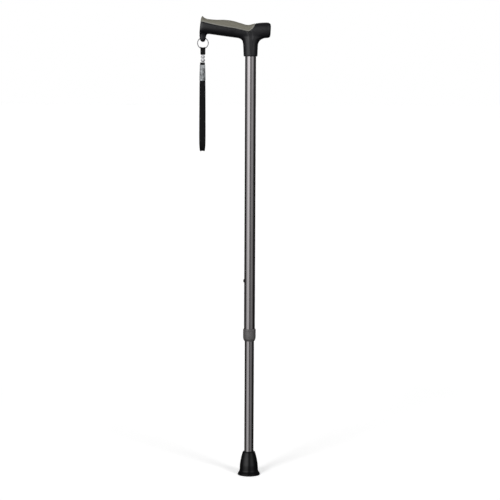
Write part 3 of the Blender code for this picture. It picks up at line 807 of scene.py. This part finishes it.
# Each rib of the arm: top (x, z), underside (x, z), half width, all in millimetres.
ARM_RIBS = [
    (-99.6, 924.2, -102.5, 897.5, 12.6),
    (-98.4, 928.2, -102.1, 894.4, 15.0),
    (-96.2, 930.8, -100.0, 893.8, 16.4),
    (-92.8, 927.6, -95.0, 894.8, 16.9),
    (-85.0, 924.9, -85.0, 895.1, 17.1),
    (-69.0, 923.5, -70.0, 893.2, 17.2),
    (-53.0, 923.4, -54.0, 891.0, 17.0),
    (-37.0, 921.7, -38.0, 888.9, 16.4),
    (-21.0, 917.3, -22.0, 886.9, 15.6),
    (-6.0, 913.5, -7.0, 885.8, 14.9),
    (8.0, 916.2, 7.0, 885.8, 14.6),
    (20.0, 918.0, 19.0, 886.6, 14.4),
    (32.6, 918.5, 32.1, 887.6, 14.0),
    (37.0, 917.5, 36.4, 888.3, 13.2),
    (39.5, 915.4, 38.6, 890.1, 11.6),
    (40.4, 911.0, 39.6, 894.2, 8.4),
]
CORE_RIBS = slice(2, -2)          # the pad's palm end is solid, and the nose has no pad
PAD_EDGE = [                      # where the pad meets the handle, seen from the side
    (-112, 918.6), (-96, 918.7), (-89, 917.1), (-81, 915.1), (-65, 911.5), (-49, 908.6), (-33, 906.2),
    (-17, 902.9), (-9, 900.9), (-4, 900.4), (-0.5, 901.8), (3.2, 905.0), (6.9, 910.4), (9.4, 916.4)]
NECK_LEVELS = [                   # height, left side, right side, half depth
    (850.9, -13.7, 13.3, 13.8), (852.0, -14.1, 13.8, 14.4), (864, -14.7, 14.25, 14.9),
    (872, -15.1, 14.6, 15.2), (876, -15.45, 15.0, 15.2), (879.6, -16.1, 16.6, 15.1), (882, -16.9, 18.1, 15.0),
    (884.4, -19.0, 21.0, 14.9), (887, -24.2, 26.4, 14.5), (889.4, -33, 33, 13.6), (895, -34, 33, 12.6)]
LUG_LEVELS = [
    (879.2, -96.8, -94.2, 1.8), (879.8, -98.2, -92.8, 4.2), (881.4, -99.9, -91.2, 5.8),
    (883.9, -101.3, -90.4, 6.8), (887.5, -102.3, -89.3, 7.4), (891.5, -102.6, -88.8, 8.0),
    (893.8, -102.5, -87.9, 8.6), (895.4, -102.0, -85.6, 9.2), (899, -101, -84, 9.2)]
# The valley between the arm's swell and the nose's swell, down each side of the neck, as (z, x)
VALLEY = [(860, 1.6), (868, 1.7), (877, 1.6), (884, 1.4), (890, 1.1), (896, 0.2), (901, -1.4)]


def arm_rings(ribs, inset=0.0):
    """Rings round the arm through the given ribs, pulled in by inset."""
    shape = superellipse(72, 2.5)
    rings = []
    for top_x, top_z, low_x, low_z, half in smooth_curve(mm(ribs), 8):
        centre = Vector(((top_x + low_x) / 2, 0, (top_z + low_z) / 2))
        rise = Vector(((top_x - low_x) / 2, 0, (top_z - low_z) / 2))
        rise *= 1 - inset / rise.length
        wide = Vector((0, half - inset, 0))
        rings.append([centre + wide * side + rise * up for side, up in shape])
    return rings


def upright_rings(levels, power):
    """Rings of an upright limb, from (height, left, right, half depth) in millimetres."""
    shape = superellipse(72, power)
    rings = []
    for height, left, right, half in smooth_curve(mm(levels), 4):
        middle, reach = (left + right) / 2, (right - left) / 2
        rings.append([(middle + reach * side, half * depth, height) for side, depth in shape])
    return rings


PAD_LINE = smooth_curve(mm(PAD_EDGE), 6)


def pad_region(lift):
    """The space over the pad's edge line, lifted by a small clearance."""
    edge = [(x, z + lift) for x, z in PAD_LINE]
    above, half = 0.95, 0.04
    return slab("pad_region", edge + [(0.0100, above), (-0.1120, above)], -half, half)


def wire_rise(reach):
    """How far the ring's wire has curved up at a distance from its lowest or highest point."""
    return RING_MEAN_RADIUS - math.sqrt(RING_MEAN_RADIUS ** 2 - reach ** 2)


def strap_hole():
    """A hole along X, flared so that the round wire can swing in it."""
    half_length, wire_room, steps = 0.0078, 0.0013, 12
    outline = [(0, -half_length)]
    for i in range(-steps, steps + 1):
        reach = i * 0.00065
        outline.append((wire_rise(reach) + wire_room + GAP, reach))
    place = (STRAP_X, 0, RING_CENTRE + RING_MEAN_RADIUS)
    return turned("strap_hole", outline + [(0, half_length)], 40, ALONG_X, place)


def handle_form():
    """Arm, neck and lug blended into one soft form, with the side valleys and the pad's seam."""
    limbs = [lofted("arm", arm_rings(ARM_RIBS)), lofted("neck", upright_rings(NECK_LEVELS, 2.0)),
             lofted("lug", upright_rings(LUG_LEVELS, 2.6))]
    form = softened(merged("limbs", limbs), BODY_VOXEL, 24)
    place, facing = read(form, "co"), np.abs(read(form, "normal")[:, 1])
    across, height = np.abs(place[:, 0]), place[:, 2]
    joint = (1 - smooth_step(0.034, 0.044, across)) * smooth_step(0.862, 0.876, height)
    joint *= (1 - smooth_step(0.897, 0.905, height)) * smooth_step(0.05, 0.4, facing)
    relax_depth(form, joint, rounds=260)
    place, facing = read(form, "co"), np.abs(read(form, "normal")[:, 1])
    side, height = place[:, 0] - np.interp(place[:, 2], *np.array(mm(VALLEY)).T), place[:, 2]
    swell_height, swell_at, swell_width = 0.0008, -0.0036, 0.0027
    dip_depth, dip_at, dip_width = 0.0007, 0.0006, 0.0031
    swell = swell_height * np.exp(-((side - swell_at) / swell_width) ** 2)
    dip = dip_depth * np.exp(-((side - dip_at) / dip_width) ** 2)
    fade = smooth_step(0.854, 0.880, height) * (1 - smooth_step(0.897, 0.903, height))
    push(form, (swell - dip) * fade * facing)
    seam, seam_width, seam_depth, lip_height = line_distance(place, PAD_LINE), 0.0013, 0.0006, 0.00022
    roll = np.clip(1 - seam / seam_width, 0, 1) ** 2
    lip = smooth_step(0.0004, 0.0010, seam) * (1 - smooth_step(0.0018, 0.0032, seam))
    over = np.interp(place[:, 0], *np.array(PAD_LINE).T) < place[:, 2]
    push(form, -seam_depth * roll + lip_height * lip * over)
    return form


def add_handle():
    form = handle_form()
    core = lofted("core", arm_rings(ARM_RIBS[CORE_RIBS], PAD_THICKNESS))
    radius, bottom = SHAFT_RADIUS + GAP, 0.845
    socket = turned("socket", [(0, bottom), (radius, bottom), (radius, SOCKET_TOP), (0, SOCKET_TOP)])
    body = combined(form.copy(), pad_region(0), "DIFFERENCE")
    body = combined(body, core, "UNION")
    body = combined(body, socket, "DIFFERENCE")
    body = combined(body, strap_hole(), "DIFFERENCE")
    piece("handle_shell", body, SATIN_BLACK, "upper", "handle_body")
    cavity = lofted("cavity", arm_rings(ARM_RIBS[CORE_RIBS], PAD_THICKNESS - GAP))
    pad = combined(form, pad_region(GAP), "INTERSECT")
    pad = combined(pad, cavity, "DIFFERENCE")
    # The rim mask is where the pad's material paints its paler rim colour, a painted highlight.
    mark(pad, "rim", 1 - smooth_step(0.0016, 0.0030, line_distance(read(pad, "co"), PAD_LINE)))
    piece("palm_pad", pad, SOFT_GREY, "upper", "grip_pad")


add_handle()


# ---------------------------------------------------------------- wrist strap

def add_split_ring():
    """Two flat coils of one wire; a short step on the +X side takes it from one to the other."""
    step_at = math.radians(10)
    half_step = math.radians(15)
    layer = (RING_LAYER + RING_LAYER_GAP) / 2
    count = 320
    first, last = half_step * 1.15, 2 * math.tau - half_step * 1.15
    shape = superellipse(14, 3.2)
    rings = []
    for i in range(count + 1):
        turn = first + (last - first) * i / count
        blend = min(max((turn - math.tau) / half_step, -1), 1)
        depth = layer * math.sin(blend * math.pi / 2)
        across = Vector((math.cos(turn + step_at), 0, math.sin(turn + step_at)))
        middle = Vector((STRAP_X, depth, RING_CENTRE)) + across * RING_MEAN_RADIUS
        rings.append([middle + across * (RING_WIRE / 2 * side) + Vector((0, RING_LAYER / 2 * up, 0))
                      for side, up in shape])
    piece("ring_wire", lofted("ring_wire", rings), RING_STEEL, "ring", "split_ring")


def half_turn(radius_y, radius_z, height, start, count=14):
    """Side-view points (y, z) of the round end of a fold."""
    angles = [start + math.pi * k / count for k in range(count + 1)]
    return [(radius_y * math.cos(angle), height + radius_z * math.sin(angle)) for angle in angles]


def straight(start, end, count=10):
    """Points between two (y, z) points, without the two themselves."""
    return [tuple(a + (b - a) * k / count for a, b in zip(start, end)) for k in range(1, count)]


def band(name, middle, width, outline, count=24):
    """A closed strap round a line X = middle; outline(reach, depth) is its side view, depth below its
    face, at a reach along X."""
    bm = bmesh.new()
    outer, inner = [], []
    for i in range(count + 1):
        share = 2 * i / count - 1
        reach = share * width / 2
        edge = WEB * 0.3 if i in (0, count) else WEB * 0.06 if i in (1, count - 1) else 0.0
        for rows, depth in ((outer, edge), (inner, WEB - edge)):
            rows.append([bm.verts.new((middle + reach, y, z)) for y, z in outline(reach, depth)])
    size = len(outer[0])
    for rows in (outer, inner):
        for a, b in zip(rows, rows[1:]):
            for k in range(size):
                j = (k + 1) % size
                bm.faces.new((a[k], a[j], b[j], b[k]))
    for end in (0, -1):
        for k in range(size):
            j = (k + 1) % size
            bm.faces.new((outer[end][k], outer[end][j], inner[end][j], inner[end][k]))
    return finish_mesh(bm, name, 50)


def mark_tape(mesh):
    """Weave directions for an upright strap."""
    place = read(mesh, "co")
    mark(mesh, "across", place[:, 0] - STRAP_X)
    mark(mesh, "along", place[:, 2] + 0.7 * place[:, 1])
    return mesh


def eyelet(low, high):
    """A round hole through a fold, for the neck of the swivel."""
    radius = 0.0014
    return turned("eyelet", [(0, low), (radius, low), (radius, high), (0, high)], 32, place=(STRAP_X, 0, 0))


def tab_side(reach, depth):
    """Webbing round the split ring above and round the swivel's bar below, with rounded lower corners."""
    flat, corner = TAB_THICKNESS / 2 - depth, 0.0022
    top = RING_CENTRE - RING_MEAN_RADIUS + wire_rise(reach)
    past = max(abs(reach) - (TAB_WIDTH / 2 - corner), 0)
    lift = corner - math.sqrt(corner ** 2 - past ** 2)
    high, low = top - 0.0042, UPPER_TBAR + TAPE_EDGE
    side = half_turn(FOLD_RADIUS * 1.1 - depth, FOLD_RADIUS * 1.05 - depth, top, 0)
    side += [(-flat, high)] + straight((-flat, high), (-flat, low)) + [(-flat, low)]
    side += half_turn(FOLD_RADIUS - depth, FOLD_RADIUS - lift * 0.45 - depth,
                      UPPER_TBAR + lift * 0.55, math.pi)
    side += [(flat, low)] + straight((flat, low), (flat, high)) + [(flat, high)]
    return side


def hanger_side(reach, depth):
    """Webbing folded over the lower bar, with both plies running down into the sleeve."""
    flat = TAB_THICKNESS / 2 - depth
    dip = 0.0006 * math.exp(-((reach + WEBBING_X - STRAP_X) / 0.0012) ** 2)
    closed = LOWER_TBAR - TAPE_EDGE
    side = half_turn(FOLD_RADIUS - depth, FOLD_RADIUS - depth - dip, LOWER_TBAR, 0)
    side += [(-flat, closed)] + straight((-flat, closed), (-flat, HANGER_END))
    return side + [(-flat, HANGER_END), (flat, HANGER_END)] + straight((flat, HANGER_END), (flat, closed)) + [
        (flat, closed)]


def stitches(name, path, length, out):
    """Short lengths of thread laid along a path of points, each with its own outward direction."""
    made = []
    for (start, end), facing in zip(path, out):
        run = (end - start).normalized()
        half = length / 2
        middle = (start + end) / 2
        profile = [(THREAD_RADIUS * math.sin(a), -half + THREAD_RADIUS * (1 - math.cos(a)))
                   for a in (math.radians(step * 22.5) for step in range(5))]
        profile += [(radius, -height) for radius, height in reversed(profile)]
        across = run.cross(facing)
        turn = Matrix((across, facing, run)).transposed().to_4x4()
        made.append(turned("stitch", profile, 10, turn, middle))
    return merged(name, made)


def add_ring_tab():
    mesh = band("tab_webbing", STRAP_X, TAB_WIDTH, tab_side)
    mesh = combined(mesh, eyelet(0.8500, UPPER_TBAR), "DIFFERENCE")
    piece("tab_webbing", mark_tape(mesh), BLACK_TAPE, "tab", "ring_tab")
    wide_pitch, tall_pitch = STITCH_HALF_WIDTH * 2 / 5, (STITCH_ROWS[1] - STITCH_ROWS[0]) / 2
    path, out = [], []
    for side in (-1, 1):
        y = side * (TAB_THICKNESS / 2 + THREAD_RADIUS * 0.3)
        for z in STITCH_ROWS:
            for k in range(5):
                x = STRAP_X - STITCH_HALF_WIDTH + wide_pitch * k
                path.append((Vector((x, y, z)), Vector((x + wide_pitch, y, z))))
                out.append(Vector((0, side, 0)))
        for x in (STRAP_X - STITCH_HALF_WIDTH, STRAP_X + STITCH_HALF_WIDTH):
            for k in range(2):
                z = STITCH_ROWS[0] + tall_pitch * k
                path.append((Vector((x, y, z)), Vector((x, y, z + tall_pitch))))
                out.append(Vector((0, side, 0)))
    piece("tab_thread", stitches("tab_thread", path, TAB_STITCH, out), THREAD, "tab", "tab_stitching")


def t_bar(height):
    half, chamfer = TBAR_LENGTH / 2, 0.0003
    return turned("t_bar", [
        (0, -half), (TBAR_RADIUS - chamfer, -half), (TBAR_RADIUS, chamfer - half),
        (TBAR_RADIUS, half - chamfer), (TBAR_RADIUS - chamfer, half), (0, half)], 32, ALONG_X,
        (STRAP_X, 0, height))


def add_swivel():
    """Two round knobs that turn on one headed pin, each with a bar through its webbing."""
    neck = mm([(0, 841.6), (1.5, 841.6), (1.5, 843.0), (0.9, 843.4), (0.9, 847.2)])
    knob = smooth_curve(mm([(2.2, 847.2), (3.4, 847.9), (4.1, 848.9), (4.3, 850.0), (4.1, 851.0),
                            (3.4, 852.0), (2.2, 852.8)]), 4)
    upper = turned("knob", neck + knob + mm([(1.1, 853.2), (1.1, 855.6), (0, 855.6)]), 64,
                   place=(STRAP_X, 0, 0))
    piece("swivel_knob", combined(upper, t_bar(UPPER_TBAR), "UNION"), NICKEL, "tab", "swivel_pin")
    shank = mm([(0, 836.6), (1.1, 836.6), (1.1, 839.0)])
    barrel = smooth_curve(mm([(2.2, 839.6), (3.4, 840.6), (4.1, 841.8), (4.3, 843.2), (4.1, 844.6),
                              (3.4, 845.8), (2.4, 846.8)]), 4)
    inside = mm([(1.25, 846.8), (1.25, 843.9), (1.85, 843.5), (1.85, 841.2), (0, 841.2)])
    lower = turned("barrel", shank + barrel + inside, 64, place=(STRAP_X, 0, 0))
    piece("swivel_barrel", combined(lower, t_bar(LOWER_TBAR), "UNION"), NICKEL, "strap", "swivel_body")


def add_hanger():
    mesh = band("hanger_webbing", WEBBING_X, HANGER_WIDTH, hanger_side)
    mesh = combined(mesh, eyelet(LOWER_TBAR, 0.8420), "DIFFERENCE")
    piece("hanger_webbing", mark_tape(mesh), BLACK_TAPE, "strap", "hanger_loop")


SLEEVE_LEVELS = [                 # height, half width, half depth
    (833.5, 5.3, 2.7), (833.0, 5.45, 2.9), (830, 5.5, 3.1), (822, 5.75, 3.7), (812, 6.0, 4.0),
    (803.0, 6.15, 4.1), (802.4, 6.05, 4.0)]
SLEEVE_WALL = 0.0004


def sleeve_rings(inset, stretch, steps, crumple=0.0):
    """Flat rings round the strap; stretch draws them out past the sleeve's ends."""
    shape = superellipse(96, 3.4)
    middle, cell, cell_height = 0.818, 0.0030, 0.0042
    rings = []
    for height, wide, deep in smooth_curve(mm(SLEEVE_LEVELS), steps):
        ring = []
        for side, up in shape:
            x, y = (wide - inset) * side, (deep - inset) * up
            dent = perlin.noise(Vector((x / cell, y / cell, height / cell_height))) * crumple
            ring.append((WEBBING_X + x, y * (1 + dent), height + stretch * (height - middle)))
        rings.append(ring)
    return rings


def add_sleeve():
    outside = lofted("outside", sleeve_rings(0, 0, 8, 0.10))
    inside = lofted("inside", sleeve_rings(SLEEVE_WALL + 0.0001, 0.2, 1))
    piece("sleeve_cloth", combined(outside, inside, "DIFFERENCE"), SILVER, "strap", "reflective_sleeve")
    path, out = [], []
    wide, deep, height = 0.00625, 0.0042, 0.80545
    shape = superellipse(26, 3.4)
    ring = [Vector((WEBBING_X + wide * side, deep * up, height)) for side, up in shape]
    for start, end in zip(ring, ring[1:] + ring[:1]):
        path.append((start, end))
        run = (end - start).normalized()
        out.append(Vector((run.y, -run.x, 0)))
    mesh = stitches("sleeve_thread", path, SLEEVE_STITCH, out)
    piece("sleeve_thread", mesh, THREAD, "strap", "sleeve_stitching")


add_split_ring()
add_ring_tab()
add_swivel()
add_hanger()
add_sleeve()
